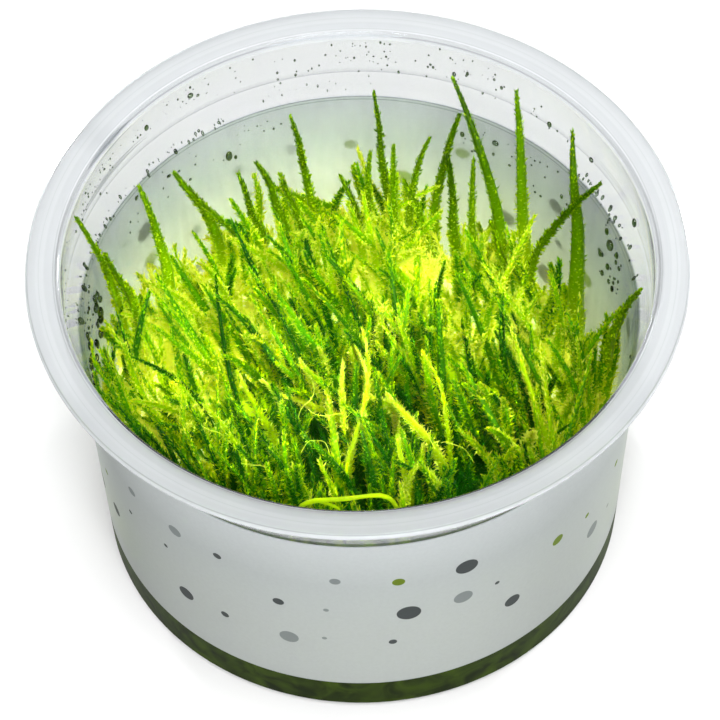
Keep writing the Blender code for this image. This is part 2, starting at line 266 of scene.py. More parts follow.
# Polypropylene film, printed silver grey: satin outside, and it lets some light through
def printedFilm(name, side):
    material, tree, shader = newMaterial(name)
    place = addNode(tree, "TexCoord").outputs["Object"]
    across, back, height = addNode(tree, "SeparateXYZ", {"Vector": place}).outputs
    low, high = side["stops"][0][0] * mm, side["stops"][-1][0] * mm
    rise = addNode(tree, "MapRange", {"Value": height, "From Min": low, "From Max": high})
    colour = addNode(tree, "ValToRGB", {"Fac": rise})
    fillRamp(colour, [((z * mm - low) / (high - low), hexColour) for z, hexColour in side["stops"]])
    stretched = addNode(tree, "Mapping", {"Vector": place, "Scale": (1, 1, side["upright"])})
    mottle = addNode(tree, "TexNoise", {
        "Vector": stretched, "Scale": 1 / (side["grain"] * mm), "Detail": 3.0,
    })
    shade = addNode(tree, "MapRange", {
        "Value": mottle, "From Min": 0.3, "From Max": 0.7, "To Min": 1 - side["depth"], "To Max": 1.0,
    })
    printed = addNode(tree, "VectorMath", {0: colour, "Scale": shade}, operation="SCALE")
    if side["dotted"]:
        bearing = addNode(tree, "Math", {0: back, 1: across}, operation="ARCTAN2")
        around = addNode(tree, "Math", {0: bearing, 1: sleeveFilm["radius"] * mm}, operation="MULTIPLY")
        printed = addDots(tree, addNode(tree, "CombineXYZ", {"X": around, "Y": height}), printed)
    inBand = addNode(tree, "Math", {0: height, 1: sleeveFilm["bandTop"] * mm}, operation="LESS_THAN")
    blur = addNode(tree, "TexNoise", {
        "Vector": place, "Scale": 1 / (sleeveFilm["bandLeaf"] * mm), "Detail": 2.0, "Distortion": 1.2,
    })
    band = addNode(tree, "ValToRGB", {"Fac": blur})
    fillRamp(band, sleeveFilm["band"])
    printed = addNode(tree, "Mix", {"Factor": inBand, "A": printed, "B": band}, data_type="RGBA")
    tree.links.new(printed.outputs["Result"], shader.inputs["Base Color"])
    shader.inputs["Roughness"].default_value = sleeveFilm["roughness"]
    shader.inputs["Specular IOR Level"].default_value = sleeveFilm["shine"]
    letThrough(tree, shader, printed, sleeveFilm["glow"])
    return material


jelly = {
    "stops": [(0.35, "#2C3A04"), (0.7, "#6E7C2C")],
    "cloud": 7,           # mm
    "roughness": 0.15,
    "ior": 1.34,
    "clearness": 0.35,
}


# Agar jelly, set in the cup: wet, cloudy and stained green by the moss
def setAgarJelly():
    material, tree, shader = newMaterial("setAgarJelly")
    place = addNode(tree, "TexCoord").outputs["Object"]
    clouds = addNode(tree, "TexNoise", {
        "Vector": place, "Scale": 1 / (jelly["cloud"] * mm), "Detail": 3.0,
    })
    colour = addNode(tree, "ValToRGB", {"Fac": clouds})
    fillRamp(colour, jelly["stops"])
    tree.links.new(colour.outputs["Color"], shader.inputs["Base Color"])
    shader.inputs["Roughness"].default_value = jelly["roughness"]
    shader.inputs["IOR"].default_value = jelly["ior"]
    shader.inputs["Transmission Weight"].default_value = jelly["clearness"]
    return material


# Moss leaves, grown: one cell thick, so light shines through them yellow-green. Low down at the
# back and left they also glow: a painted glow, emitted in place of the light that seeps in through the
# clear wall
def grownMoss(name, look):
    material, tree, shader = newMaterial(name)
    value, reach, leafAlong, seep = [
        addNode(tree, "Attribute", attribute_name=key).outputs["Fac"]
        for key in ("tint", "reach", "leafAlong", "seep")
    ]
    place = addNode(tree, "TexCoord").outputs["Object"]
    patches = addNode(tree, "TexNoise", {
        "Vector": place, "Scale": 1 / (look["patch"] * mm), "Detail": 2.0,
    })
    fibre = addNode(tree, "TexNoise", {
        "Vector": place, "Scale": 1 / (look["fibre"] * mm), "Detail": 1.0,
    })
    lifts = ((patches, "patchLift"), (fibre, "fibreLift"), (reach, "tipLift"), (leafAlong, "leafLift"))
    for source, lift in lifts:
        value = addNode(tree, "Math", {0: source, 1: look[lift], 2: value}, operation="MULTIPLY_ADD")
    face = addNode(tree, "ValToRGB", {"Fac": value})
    fillRamp(face, look["face"])
    through = addNode(tree, "ValToRGB", {"Fac": value})
    fillRamp(through, look["through"])
    tree.links.new(face.outputs["Color"], shader.inputs["Base Color"])
    tree.links.new(through.outputs["Color"], shader.inputs["Emission Color"])
    shader.inputs["Roughness"].default_value = look["roughness"]
    shader.inputs["Specular IOR Level"].default_value = look["shine"]
    glowAlong = addNode(tree, "Math", {
        0: leafAlong, 1: 1 - look["bodyGlowShare"], 2: look["bodyGlowShare"],
    }, operation="MULTIPLY_ADD")
    # Painted glow: emission strength from the glow value, less on bodies than on leaf tips
    strength = addNode(tree, "Math", {0: seep, 1: glowAlong}, operation="MULTIPLY")
    tree.links.new(strength.outputs["Value"], shader.inputs["Emission Strength"])
    letThrough(tree, shader, through, look["glow"])
    return material


# Colours by a value from 0, dark, to 1, bright, and what adds to that value
turfGreen = {
    "face": [(0.0, "#185406"), (0.3, "#4A9A04"), (0.6, "#98D000"), (0.85, "#D2E810"), (1.0, "#ECF650")],
    "through": [(0.0, "#388006"), (0.3, "#84C804"), (0.6, "#D2E600"), (0.85, "#F4F210"), (1.0, "#FFFA58")],
    "glow": 0.5,          # share of the light that shines through
    "bodyGlowShare": 0.45,     # share of the painted glow that a body gives, being thicker than leaves
    "roughness": 0.28,
    "shine": 0.14,
    "patch": 12,          # mm, patches of older and younger growth
    "patchLift": 0.3,
    "fibre": 0.5,         # mm, the grain of the leaves
    "fibreLift": 0.15,
    "tipLift": 0.18,      # towards a shoot's tip
    "leafLift": 0.32,     # towards a leaf's tip: paler tips, partly their own colour and partly painted glints
}
stemGreen = dict(
    turfGreen, patchLift=0.15, leafLift=0.22, tipLift=-0.1, glow=0.4,
    face=[(0.0, "#2E5200"), (0.3, "#5A8C00"), (0.6, "#94C000"), (1.0, "#D8F028")],
    through=[(0.0, "#588600"), (0.3, "#9CC800"), (0.6, "#D8EE00"), (1.0, "#F8FC40")],
)
paleGreen = dict(
    turfGreen, patchLift=0.1, leafLift=0.35,
    face=[(0.0, "#689600"), (0.35, "#A4CC00"), (0.7, "#D4F010"), (1.0, "#F0FC60")],
    through=[(0.0, "#98C400"), (0.4, "#D0EC00"), (1.0, "#F8FC40")],
)
bedGreen = dict(
    turfGreen, glow=0.3, shine=0.0,
    through=[(0.0, "#3E8400"), (0.3, "#96D600"), (0.6, "#E0F400"), (0.85, "#FCFF38"), (1.0, "#FFFFD0")],
)


# Helpers for shapes
sharpAngle = 32   # degrees, from which an edge of a turned piece is left sharp


def clearSelection():
    if bpy.context.object and bpy.context.object.mode != "OBJECT":
        bpy.ops.object.mode_set(mode="OBJECT")
    bpy.ops.object.select_all(action="DESELECT")


# Turns a ring up and round a profile of (radius, height) points, as on a lathe
def turnedPiece(name, profile, segments, closed):
    clearSelection()
    radius, height = profile[0]
    bpy.ops.mesh.primitive_circle_add(
        vertices=segments, radius=radius * mm, location=(0, 0, height * mm),
        fill_type="NOTHING" if closed else "NGON", enter_editmode=True,
    )
    item = bpy.context.object
    item.name = name
    item.data.name = name
    for nextRadius, nextHeight in profile[1:]:
        rise = (nextHeight - height) * mm
        bpy.ops.mesh.extrude_edges_move(TRANSFORM_OT_translate={"value": (0, 0, rise)})
        grow = nextRadius / radius
        bpy.ops.transform.resize(value=(grow, grow, 1))
        radius, height = nextRadius, nextHeight
    if not closed:
        bpy.ops.mesh.edge_face_add()
    bpy.ops.mesh.select_all(action="SELECT")
    bpy.ops.mesh.remove_doubles(threshold=0.002 * mm)
    bpy.ops.mesh.normals_make_consistent(inside=False)
    bpy.ops.object.mode_set(mode="OBJECT")
    bpy.ops.object.transform_apply(location=True, rotation=True, scale=True)
    bpy.ops.object.shade_smooth_by_angle(angle=math.radians(sharpAngle))
    return item


def arc(centre, radius, start, end, steps):
    angles = [math.radians(start + (end - start) * i / steps) for i in range(steps + 1)]
    return [(centre[0] + radius * math.cos(a), centre[1] + radius * math.sin(a)) for a in angles]


def finishPiece(item, materials, slotName, *nodes):
    item.data.materials.clear()
    for material in materials:
        item.data.materials.append(material)
    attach(item, "root")
    if nodes:
        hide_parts(*nodes)


# Cup: one clear moulding, turned
cup = {
    "height": 60.5,
    "rimRadius": 50.5,
    "rimThickness": 1.3,
    "collarTop": 45.1,       # radius inside, under the rounded inner edge of the flange
    "collarFoot": 44.7,
    "collarFootZ": 51.7,
    "lipRounding": 1.3,
    "wallTopZ": 47.9,
    "wallTop": 43.0,         # radius outside
    "wallFoot": 39.6,
    "wall": 0.7,
    "footRounding": 1.0,
    "innerCorner": 1.5,
    "floorTop": 1.3,
    "footRing": 34.0,
    "footRecess": 0.5,
    "hub": 2.0,              # radius of the faces that close the floor's middle
    "shoulderDrop": 0.3,     # of the shoulder's outside below its inside
    "underRim": 0.6,         # size of the slant where the collar meets the flange
    "segments": 160,
}


def outerRadius(z):
    return cup["wallFoot"] + (cup["wallTop"] - cup["wallFoot"]) / cup["wallTopZ"] * z


# Radius of the cup's hollow at height z
def innerRadius(z):
    wallTop = cup["wallTop"] - cup["wall"]
    rimZ = cup["height"] - cup["lipRounding"]
    heights = [0, cup["wallTopZ"], cup["collarFootZ"], rimZ]
    radii = [cup["wallFoot"] - cup["wall"], wallTop, cup["collarFoot"], cup["collarTop"]]
    return np.interp(z, heights, radii)


def makeCup():
    edge = cup["rimThickness"] / 2
    top = cup["height"]
    underZ = top - cup["rimThickness"]
    collar = cup["collarTop"] + cup["wall"]
    lip = (cup["collarTop"] + cup["lipRounding"], top - cup["lipRounding"])
    footX = outerRadius(cup["footRounding"]) - cup["footRounding"]
    corner = float(innerRadius(cup["floorTop"] + cup["innerCorner"])) - cup["innerCorner"]
    profile = [
        (cup["hub"], cup["footRecess"]),
        (cup["footRing"] - cup["footRecess"], cup["footRecess"]),
        (cup["footRing"], 0.0),
    ]
    profile += arc((footX, cup["footRounding"]), cup["footRounding"], -90, 0, 5)
    profile += [
        (cup["wallTop"], cup["wallTopZ"]),
        (cup["collarFoot"] + cup["wall"], cup["collarFootZ"] - cup["shoulderDrop"]),
        (collar, underZ - cup["underRim"]),
        (collar + cup["underRim"], underZ),
    ]
    profile += arc((cup["rimRadius"] - edge, top - edge), edge, -90, 90, 10)
    profile += arc(lip, cup["lipRounding"], 90, 180, 8)
    profile += [(cup["collarFoot"], cup["collarFootZ"]), (cup["wallTop"] - cup["wall"], cup["wallTopZ"])]
    profile += arc((corner, cup["floorTop"] + cup["innerCorner"]), cup["innerCorner"], 0, -90, 6)
    profile += [(cup["hub"], cup["floorTop"])]
    item = turnedPiece("clear_cup", profile, cup["segments"], False)
    wall = mouldedPolypropylene("mouldedPolypropylene", clearPlastic["wall"])
    flange = mouldedPolypropylene("mouldedPolypropyleneFlange", clearPlastic["flange"])
    finishPiece(item, [wall, flange], "clear_plastic", "cup")
    for face in item.data.polygons:
        face.material_index = int(face.center.xy.length > collar * mm)


makeCup()
print("cup turned")

# Sleeve: a printed film round the wall
sleeve = {"bottom": 1.0, "top": 47.6, "gap": 0.3, "thickness": 0.2, "segments": 160}


def makeSleeve():
    low = outerRadius(sleeve["bottom"]) + sleeve["gap"]
    high = outerRadius(sleeve["top"]) + sleeve["gap"]
    thick = sleeve["thickness"]
    profile = [
        (low, sleeve["bottom"]), (low + thick, sleeve["bottom"]),
        (high + thick, sleeve["top"]), (high, sleeve["top"]), (low, sleeve["bottom"]),
    ]
    item = turnedPiece("printed_sleeve", profile, sleeve["segments"], True)
    outside = printedFilm("printedFilm", sleeveFilm["outside"])
    inside = printedFilm("printedFilmBack", sleeveFilm["back"])
    finishPiece(item, [outside, inside], "label_film", "label")
    for face in item.data.polygons:
        face.material_index = int(face.normal.xy.dot(face.center.xy) < 0)


makeSleeve()
print("sleeve turned")

# Jelly: the CAD solid has its real shape and gets its finish
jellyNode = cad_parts["gel"]
jellyNode.data.materials.clear()
jellyNode.data.materials.append(setAgarJelly())
print("jelly finished")

# Moss leaves, each modelled once, about 1 long and 1 wide: the width of its base, its middle (how
# far along, how far it bends out, width) and its tip. Scales lie on the shoot, hooks stand off it
leafShapes = {
    "scale": {"base": 0.6, "middle": (0.5, 0.08, 1.0), "tip": (1.0, 0.0)},
    "cuppedScale": {"base": 0.7, "middle": (0.45, 0.14, 1.0), "tip": (0.95, 0.1)},
    "hook": {"base": 1.0, "middle": (0.5, 0.08, 0.85), "tip": (0.95, -0.2)},
    "needle": {"base": 0.9, "middle": (0.55, 0.0, 0.8), "tip": (1.05, 0.06)},
}


def readPattern(item):
    mesh = item.data
    points = np.array([vert.co for vert in mesh.vertices])
    loops = np.array([loop.vertex_index for loop in mesh.loops])
    starts = np.array([face.loop_start for face in mesh.polygons])
    bpy.data.objects.remove(item, do_unlink=True)
    return {"points": points, "loops": loops, "starts": starts}


def modelLeaf(shape):
    clearSelection()
    bpy.ops.mesh.primitive_plane_add(size=1, location=(0, 0, 0))
    mesh = bpy.context.object.data
    along, bend, width = shape["middle"]
    for vert in mesh.vertices:
        far = vert.co.x > 0
        vert.co = (along, vert.co.y * width, bend) if far else (0, vert.co.y * shape["base"], 0)
    bpy.ops.object.mode_set(mode="EDIT")
    bpy.ops.mesh.select_mode(type="EDGE")
    bpy.ops.mesh.select_all(action="DESELECT")
    bpy.ops.object.mode_set(mode="OBJECT")
    for edge in mesh.edges:
        edge.select = all(mesh.vertices[i].co.x > 0.1 for i in edge.vertices)   # the far edge
    bpy.ops.object.mode_set(mode="EDIT")
    rise = (shape["tip"][0] - along, 0, shape["tip"][1] - bend)
    bpy.ops.mesh.extrude_edges_move(TRANSFORM_OT_translate={"value": rise})
    bpy.ops.mesh.merge(type="CENTER")
    bpy.ops.object.mode_set(mode="OBJECT")
    return readPattern(bpy.context.object)


leafPatterns = {key: modelLeaf(shape) for key, shape in leafShapes.items()}


# Copies a pattern to many places; each copy has its own three axes, and values for its points
def copiesOf(pattern, places, along, across, outward, values):
    points, loops, starts = pattern["points"], pattern["loops"], pattern["starts"]
    count, size = len(places), len(points)
    spread = places[:, None, :]
    for axis, direction in enumerate((along, across, outward)):
        spread = spread + points[None, :, axis:axis + 1] * direction[:, None, :]
    order = np.arange(count)[:, None]
    return {
        "points": spread.reshape(-1, 3),
        "loops": (loops[None, :] + order * size).ravel(),
        "starts": (starts[None, :] + order * len(loops)).ravel(),
        "values": {key: np.repeat(value, size) for key, value in values.items()},
    }


# Keeps named values on a mesh's points, for its material to read
def writeValues(mesh, values):
    for key, value in values.items():
        attribute = mesh.attributes.new(key, "FLOAT", "POINT")
        attribute.data.foreach_set("value", value.astype(np.float32))


# Joins heaps of copies into one mesh piece
def joinedPiece(name, heaps):
    points = np.concatenate([heap["points"] for heap in heaps])
    loops, starts, pointShift, loopShift = [], [], 0, 0
    for heap in heaps:
        loops.append(heap["loops"] + pointShift)
        starts.append(heap["starts"] + loopShift)
        pointShift += len(heap["points"])
        loopShift += len(heap["loops"])
    loops, starts = np.concatenate(loops), np.concatenate(starts)
    mesh = bpy.data.meshes.new(name)
    mesh.vertices.add(len(points))
    mesh.vertices.foreach_set("co", (points * mm).astype(np.float32).ravel())
    mesh.loops.add(len(loops))
    mesh.loops.foreach_set("vertex_index", loops.astype(np.int32))
    mesh.polygons.add(len(starts))
    mesh.polygons.foreach_set("loop_start", starts.astype(np.int32))
    mesh.update(calc_edges=True)
    keys = heaps[0]["values"]
    writeValues(mesh, {key: np.concatenate([heap["values"][key] for heap in heaps]) for key in keys})
    mesh.shade_smooth()
    item = bpy.data.objects.new(name, mesh)
    bpy.context.scene.collection.objects.link(item)
    return item


def unit(vectors):
    return vectors / np.maximum(np.linalg.norm(vectors, axis=-1, keepdims=True), 1e-9)


# Reads places and directions at shares (0 to 1) of each route; routes are (count, points, 3)
def alongRoutes(routes, shares):
    last = routes.shape[1] - 1
    steps = unit(np.gradient(routes, axis=1))
    low = np.minimum((shares * last).astype(int), last - 1)
    part = (shares * last - low)[..., None]
    row = np.arange(len(routes))[:, None]
    places = routes[row, low] * (1 - part) + routes[row, low + 1] * part
    return places, unit(steps[row, low] * (1 - part) + steps[row, low + 1] * part)


# Routes that rise from a foot towards a bend and lean over to a tip
def bentRoutes(foot, bend, tip, steps):
    share = np.linspace(0, 1, steps)[None, :, None]
    foot, bend, tip = foot[:, None], bend[:, None], tip[:, None]
    return foot * (1 - share) ** 2 + bend * 2 * share * (1 - share) + tip * share ** 2


# How every shoot grows
growth = {
    "swelling": 3,           # how fast its body fills out above its foot
    "bluntness": 0.8,        # of its tip; the higher, the sharper
    "footFade": 1.5,         # how fast what it gains towards its foot fades on the way up
    "leafSeat": 0.85,        # where leaves sit, as a share of the body's half width
    "leafSize": (0.7, 1.25),
    "opening": (5, 100),     # least and most, in degrees from straight ahead
    "tipClosing": 0.6,       # how much less leaves open at the very tip
    "tipPower": 6,           # the higher, the nearer the tip they start to close
}


# The two directions square to each route; roll turns them round it
def acrossAxes(ahead, roll):
    level = np.stack([np.cos(roll), np.sin(roll), np.zeros(len(roll))], axis=-1)[:, None]
    side = unit(np.cross(ahead, level))
    return side, np.cross(ahead, side)


# Half width of a shoot's body at shares of its length: full low down and pointed at its tip
def bodyHalf(shares, width, look):
    swell = np.minimum(1, look["footShare"] + shares * growth["swelling"])
    swell = swell * (1 - shares ** look["point"]) ** growth["bluntness"]
    return (width[:, None] * swell + look["tipWidth"]) / 2


# Values of a shoot at shares of its length, changing towards its foot
def shades(shares, grown, lift):
    foot = (1 - shares) ** growth["footFade"]
    return {
        "tint": grown["tint"][:, None] + grown["low"][:, None] * foot + lift,
        "reach": shares,
        "seep": grown["seep"][:, None] * foot,
    }


# A flat body along each route, of the shoot's closely packed inner leaves
def shootBodies(grown, roll, look):
    routes, width = grown["routes"], grown["width"]
    count, steps = routes.shape[:2]
    shares = np.tile(np.linspace(0, 1, steps), (count, 1))
    places, ahead = alongRoutes(routes, shares)
    side, front = acrossAxes(ahead, roll)
    half = bodyHalf(shares, width, look)[..., None]
    corners = look["corners"]
    angles = [math.tau * corner / corners for corner in range(corners)]
    front = front * look["thickness"]
    rings = [places + (side * math.cos(a) + front * math.sin(a)) * half for a in angles]
    points = np.stack(rings, axis=2)
    index = np.arange(count * steps * corners).reshape(count, steps, corners)
    near, far = index[:, :-1], index[:, 1:]
    walls = np.stack([near, np.roll(near, -1, 2), np.roll(far, -1, 2), far], axis=-1).reshape(-1, 4)
    tops = index[:, -1]
    values = shades(shares, grown, look["bodyTint"])
    values = {key: np.repeat(value, corners) for key, value in values.items()}
    values["leafAlong"] = np.zeros(count * steps * corners)
    return {
        "points": points.reshape(-1, 3),
        "loops": np.concatenate([walls.ravel(), tops.ravel()]),
        "starts": np.append(np.arange(len(walls)) * 4, len(walls) * 4 + np.arange(count) * corners),
        "values": values,
    }


# Leaves of one kind all along each route
def shootLeaves(grown, roll, look, leaf, rng):
    routes, width = grown["routes"], grown["width"]
    count, number = len(routes), leaf["number"]
    shares = (np.arange(number) + rng.uniform(0.1, 0.9, (count, number))) / number
    shares = look["bare"] + (1 - look["bare"]) * shares
    places, ahead = alongRoutes(routes, shares)
    side, front = acrossAxes(ahead, roll)
    rank = np.array(leaf["ranks"])[np.arange(number) % len(leaf["ranks"])]
    angle = np.radians(rank[None, :] + rng.normal(0, leaf["rankSpread"], (count, number)))[..., None]
    half = bodyHalf(shares, width, look)[..., None] * growth["leafSeat"]
    places = places + (side * np.cos(angle) + front * np.sin(angle) * look["thickness"]) * half
    outward = unit(side * np.cos(angle) * look["thickness"] + front * np.sin(angle))
    opening = rng.normal(*leaf["opening"], (count, number))
    opening = opening * (1 - growth["tipClosing"] * shares ** growth["tipPower"])
    opening = np.radians(np.clip(opening, *growth["opening"]))[..., None]
    pointing = ahead * np.cos(opening) + outward * np.sin(opening)
    across = np.cross(ahead, outward)
    lift = np.cross(pointing, across)
    size = (1 - look["leafTaper"] * shares ** 2) * rng.uniform(*growth["leafSize"], (count, number))
    size = (size * grown["size"][:, None])[..., None]
    length, wide = size * leaf["length"], size * leaf["width"]
    values = shades(shares, grown, rng.normal(*leaf["tint"], (count, number)))
    kind = rng.integers(0, len(leaf["shapes"]), (count, number))
    heaps = []
    for index, shape in enumerate(leaf["shapes"]):
        pick, pattern = kind == index, leafPatterns[shape]
        heap = copiesOf(
            pattern, places[pick],
            (pointing * length)[pick], (across * wide)[pick], (-lift * length)[pick],
            {key: value[pick] for key, value in values.items()},
        )
        heap["values"]["leafAlong"] = np.tile(pattern["points"][:, 0], int(pick.sum()))
        heaps.append(heap)
    return heaps


# grown has one of each per shoot: its route, width, leaf size, tint (its brightness, with painted shade and
# light in it), and what
# it gains towards its foot: low (more tint, painted shade at the front and painted light at the back) and
# its glow (a painted glow, in place of light that reaches it through the wall)
def leafyShoots(grown, look, rng):
    roll = rng.uniform(0, math.tau, len(grown["routes"]))
    heaps = [shootBodies(grown, roll, look)]
    for leaf in look["leaves"]:
        heaps += shootLeaves(grown, roll, look, leaf, rng)
    return heaps


# A smooth route through rough points: its corners are cut three times, then it gets even steps
def smoothRoute(points, steps):
    line = np.array(points, dtype=float)
    for _ in range(3):
        near, far = line[:-1], line[1:]
        inner = np.stack([near * 0.75 + far * 0.25, near * 0.25 + far * 0.75], axis=1).reshape(-1, 3)
        line = np.vstack([line[0], inner, line[-1]])
    walked = np.concatenate([[0], np.cumsum(np.linalg.norm(np.diff(line, axis=0), axis=1))])
    wanted = np.linspace(0, walked[-1], steps)
    return np.column_stack([np.interp(wanted, walked, line[:, axis]) for axis in range(3)])


# Turf: long fronds in tufts over a dense growth of short shoots. Pairs of tint, low, glow and
# tintSpread are for the front and the back: the front is painted dark as shade, the back painted bright as
# light, with a painted glow
turf = {
    "edgeZ": 19.5,
    "crownZ": 24.5,
    "softness": 8.0,          # how far from the wall it reaches its full height
    "frontRise": 3.0,
    "leftRise": 3.5,
    "backFall": 2.0,
    "wallGap": 0.4,
    "tipGap": 0.9,
    "steps": 9,               # along a shoot
    "bend": (0.25, 0.25, 0.5),   # where a shoot bends, as shares of its lean and rise
    "waver": 0.1,
    "leafSize": (0.85, 1.15),
    "pieces": 3,
    "seed": 7,
}
shortShoots = {
    "count": 1000,
    "jitter": 0.5,
    "length": (5.5, 10.5),
    "sink": 4.0,              # how far below the turf's top a shoot starts
    "lean": (-0.15, 0.2),
    "spread": 0.4,
    "width": (0.4, 0.7),
    "tint": (-0.7, 0.56),
    "low": (-0.3, 0.1),
    "seep": (0.0, 1.2),
    "rightPaintedGlow": 1.0,         # share of the painted glow that reaches the right side
    "tintSpread": (0.2, 0.15),
    "topZ": 40,
}
fronds = {
    "count": 500,
    "tufts": 150,
    "jitter": 1.6,
    "tuftSize": 1.6,          # mm, spread of a tuft's feet
    "fan": 0.06,              # how much a tuft opens, per mm
    "length": (11.0, 23.0),
    "sink": 3.5,
    "leanX": ([-35, 0, 30], [-0.42, -0.2, -0.02]),   # mm from the middle, lean per mm of rise
    "leanY": ([-35, 0, 30], [0.5, 0.28, -0.05]),
    "spread": 0.24,           # of a tuft's lean
    "ownSpread": 0.13,        # of a frond's lean within its tuft
    "width": (0.8, 1.35),
    "tint": (-0.01, 0.07),
    "low": (-0.35, 0.4),
    "seep": (0.14, 0.88),
    "rightPaintedGlow": 0.7,
    "tintSpread": (0.23, 0.18),
    "topZ": 44.0,
    "dips": [                 # lower growth, where the wall shows: place, width, how much lower
        (-28, 25, 9, 0.65),
        (20, 30, 7, 0.6),
        (-37, 8, 6, 0.5),
    ],
}
scales = {"ranks": (20, 200, 90, 270, 160, 340), "shapes": ("scale", "cuppedScale", "hook")}
hooks = {"shapes": ("hook", "needle", "hook")}
frondLook = {
    "corners": 6,
    "thickness": 0.55,
    "footShare": 0.5,
    "point": 2.6,
    "tipWidth": 0.3,
    "bodyTint": -0.15,
    "bare": 0.22,
    "leafTaper": 0.25,
    "leaves": [   # opening and tint are each a mean and a spread, ranks are degrees round the shoot
        dict(scales, number=190, ranks=(20, 200, 90, 270, 160, 340, 60, 240), rankSpread=16,
             opening=(38, 14), length=0.8, width=0.42, tint=(-0.05, 0.13)),
        dict(hooks, number=80, ranks=(0, 180, 0, 180, 30, 210), rankSpread=16,
             opening=(66, 20), length=1.1, width=0.3, tint=(0.2, 0.15)),
    ],
}
shortLook = dict(frondLook, corners=5, bare=0.08, leaves=[
    dict(scales, number=34, rankSpread=20,
         opening=(40, 14), length=1.15, width=0.52, tint=(0.0, 0.1)),
    dict(hooks, number=30, ranks=(0, 180, 90, 270), rankSpread=25,
         opening=(60, 16), length=1.1, width=0.3, tint=(0.12, 0.1)),
])


def turfHeight(x, y):
    room = float(innerRadius(turf["edgeZ"])) - turf["wallGap"]
    toWall = np.maximum(0, room - np.hypot(x, y))
    swell = np.sin(np.minimum(1, toWall / turf["softness"]) * math.pi / 2)
    slope = -turf["leftRise"] * x / room
    slope = slope + turf["frontRise"] * np.maximum(0, -y / room)
    slope = slope - turf["backFall"] * np.maximum(0, y / room)
    return turf["edgeZ"] + (turf["crownZ"] - turf["edgeZ"]) * swell + slope


# Smooth random field over x and y, about -1 to 1: six crossing waves, each 1.4 to 2.8 sizes long
def field(x, y, size, seed):
    rng = np.random.default_rng(seed)
    total = np.zeros_like(x)
    for _ in range(6):
        heading, phase = rng.uniform(0, math.tau, 2)
        wave = math.tau / (size * rng.uniform(1.4, 2.8))
        total = total + np.sin((x * math.cos(heading) + y * math.sin(heading)) * wave + phase)
    return total / 3.2


def keepInside(points, gap):
    room = innerRadius(points[..., 2]) - gap
    distance = np.hypot(points[..., 0], points[..., 1])
    pull = np.minimum(1, room / np.maximum(distance, 1e-6))
    points[..., :2] *= pull[..., None]
    return points


# Places spread evenly over the turf on a sunflower's spiral, with a little chance in them
def evenPlaces(count, jitter, rng):
    room = float(innerRadius(turf["edgeZ"])) - turf["tipGap"]
    order = np.arange(count)
    radius = room * np.sqrt((order + 0.5) / count)
    turn = order * math.pi * (3 - math.sqrt(5))
    x, y = radius * np.cos(turn), radius * np.sin(turn)
    return x + rng.normal(0, jitter, count), y + rng.normal(0, jitter, count)


# Routes of shoots from their feet; lean is (left to right, front to back) per mm of rise
def shootRoutes(x, y, lean, rise, group, rng):
    foot = np.stack([x, y, turfHeight(x, y) - group["sink"]], axis=-1)
    rise = np.minimum(rise, group["topZ"] - foot[:, 2])
    tip = foot + np.column_stack([lean, np.ones(len(x))]) * rise[:, None]
    bend = foot + (tip - foot) * np.array(turf["bend"])
    bend[:, :2] += rng.normal(0, turf["waver"], (len(x), 2)) * rise[:, None]
    return keepInside(bentRoutes(foot, bend, tip, turf["steps"]), turf["tipGap"])


def shortRoutes(rng):
    count = shortShoots["count"]
    x, y = evenPlaces(count, shortShoots["jitter"], rng)
    lean = rng.normal(shortShoots["lean"], shortShoots["spread"], (count, 2))
    rise = rng.uniform(*shortShoots["length"], count)
    return shootRoutes(x, y, lean, rise, shortShoots, rng)


def frondRoutes(rng):
    count, tufts = fronds["count"], fronds["tufts"]
    tuftX, tuftY = evenPlaces(tufts, fronds["jitter"], rng)
    leanX, leanY = np.interp(tuftX, *fronds["leanX"]), np.interp(tuftY, *fronds["leanY"])
    tuftLean = np.column_stack([leanX, leanY]) + rng.normal(0, fronds["spread"], (tufts, 2))
    mine = rng.integers(0, tufts, count)
    offset = rng.normal(0, fronds["tuftSize"], (count, 2))
    x, y = tuftX[mine] + offset[:, 0], tuftY[mine] + offset[:, 1]
    lean = tuftLean[mine] + offset * fronds["fan"] + rng.normal(0, fronds["ownSpread"], (count, 2))
    rise = rng.uniform(*fronds["length"], count)
    for dipX, dipY, width, share in fronds["dips"]:
        rise = rise * (1 - share * np.exp(-((x - dipX) ** 2 + (y - dipY) ** 2) / width ** 2))
    return shootRoutes(x, y, lean, rise, fronds, rng)


# Light painted into the growth for the light that comes in through the back and left wall: brighter tint
# and a painted glow at the back and left, painted shade at the front
paintedWallLight = {
    "darkest": (3.5, -12),     # x and y, mm
    "brightens": (10, 31),     # over these distances from there, and from front to back over y
    "frontToBack": (-30, -12),
    "leftToRight": (8, 30),    # x over which less and less of the seeping light arrives
    "tintPatches": (12, 12),   # mm and seed, of brighter and darker growth
    "tintPatchDepth": 0.16,
    "seepPatches": (7, 5),     # mm and seed, of more and less painted glow
    "seepPatchMiddle": 0.7,
    "seepPatchDepth": 0.5,
    "seepMost": 1.4,
    "bedTint": (-0.6, 0.9),    # painted shade at the front and painted light at the back
    "bedPaintedGlow": 1.25,
}


# How near a place is to the bright back and left wall, 0 to 1; the front lies in the dark
def backShare(x, y):
    away = np.hypot(x - paintedWallLight["darkest"][0], y - paintedWallLight["darkest"][1])
    share = np.interp(away, paintedWallLight["brightens"], [0.0, 1.0])
    return share * np.interp(y, paintedWallLight["frontToBack"], [0.0, 1.0])


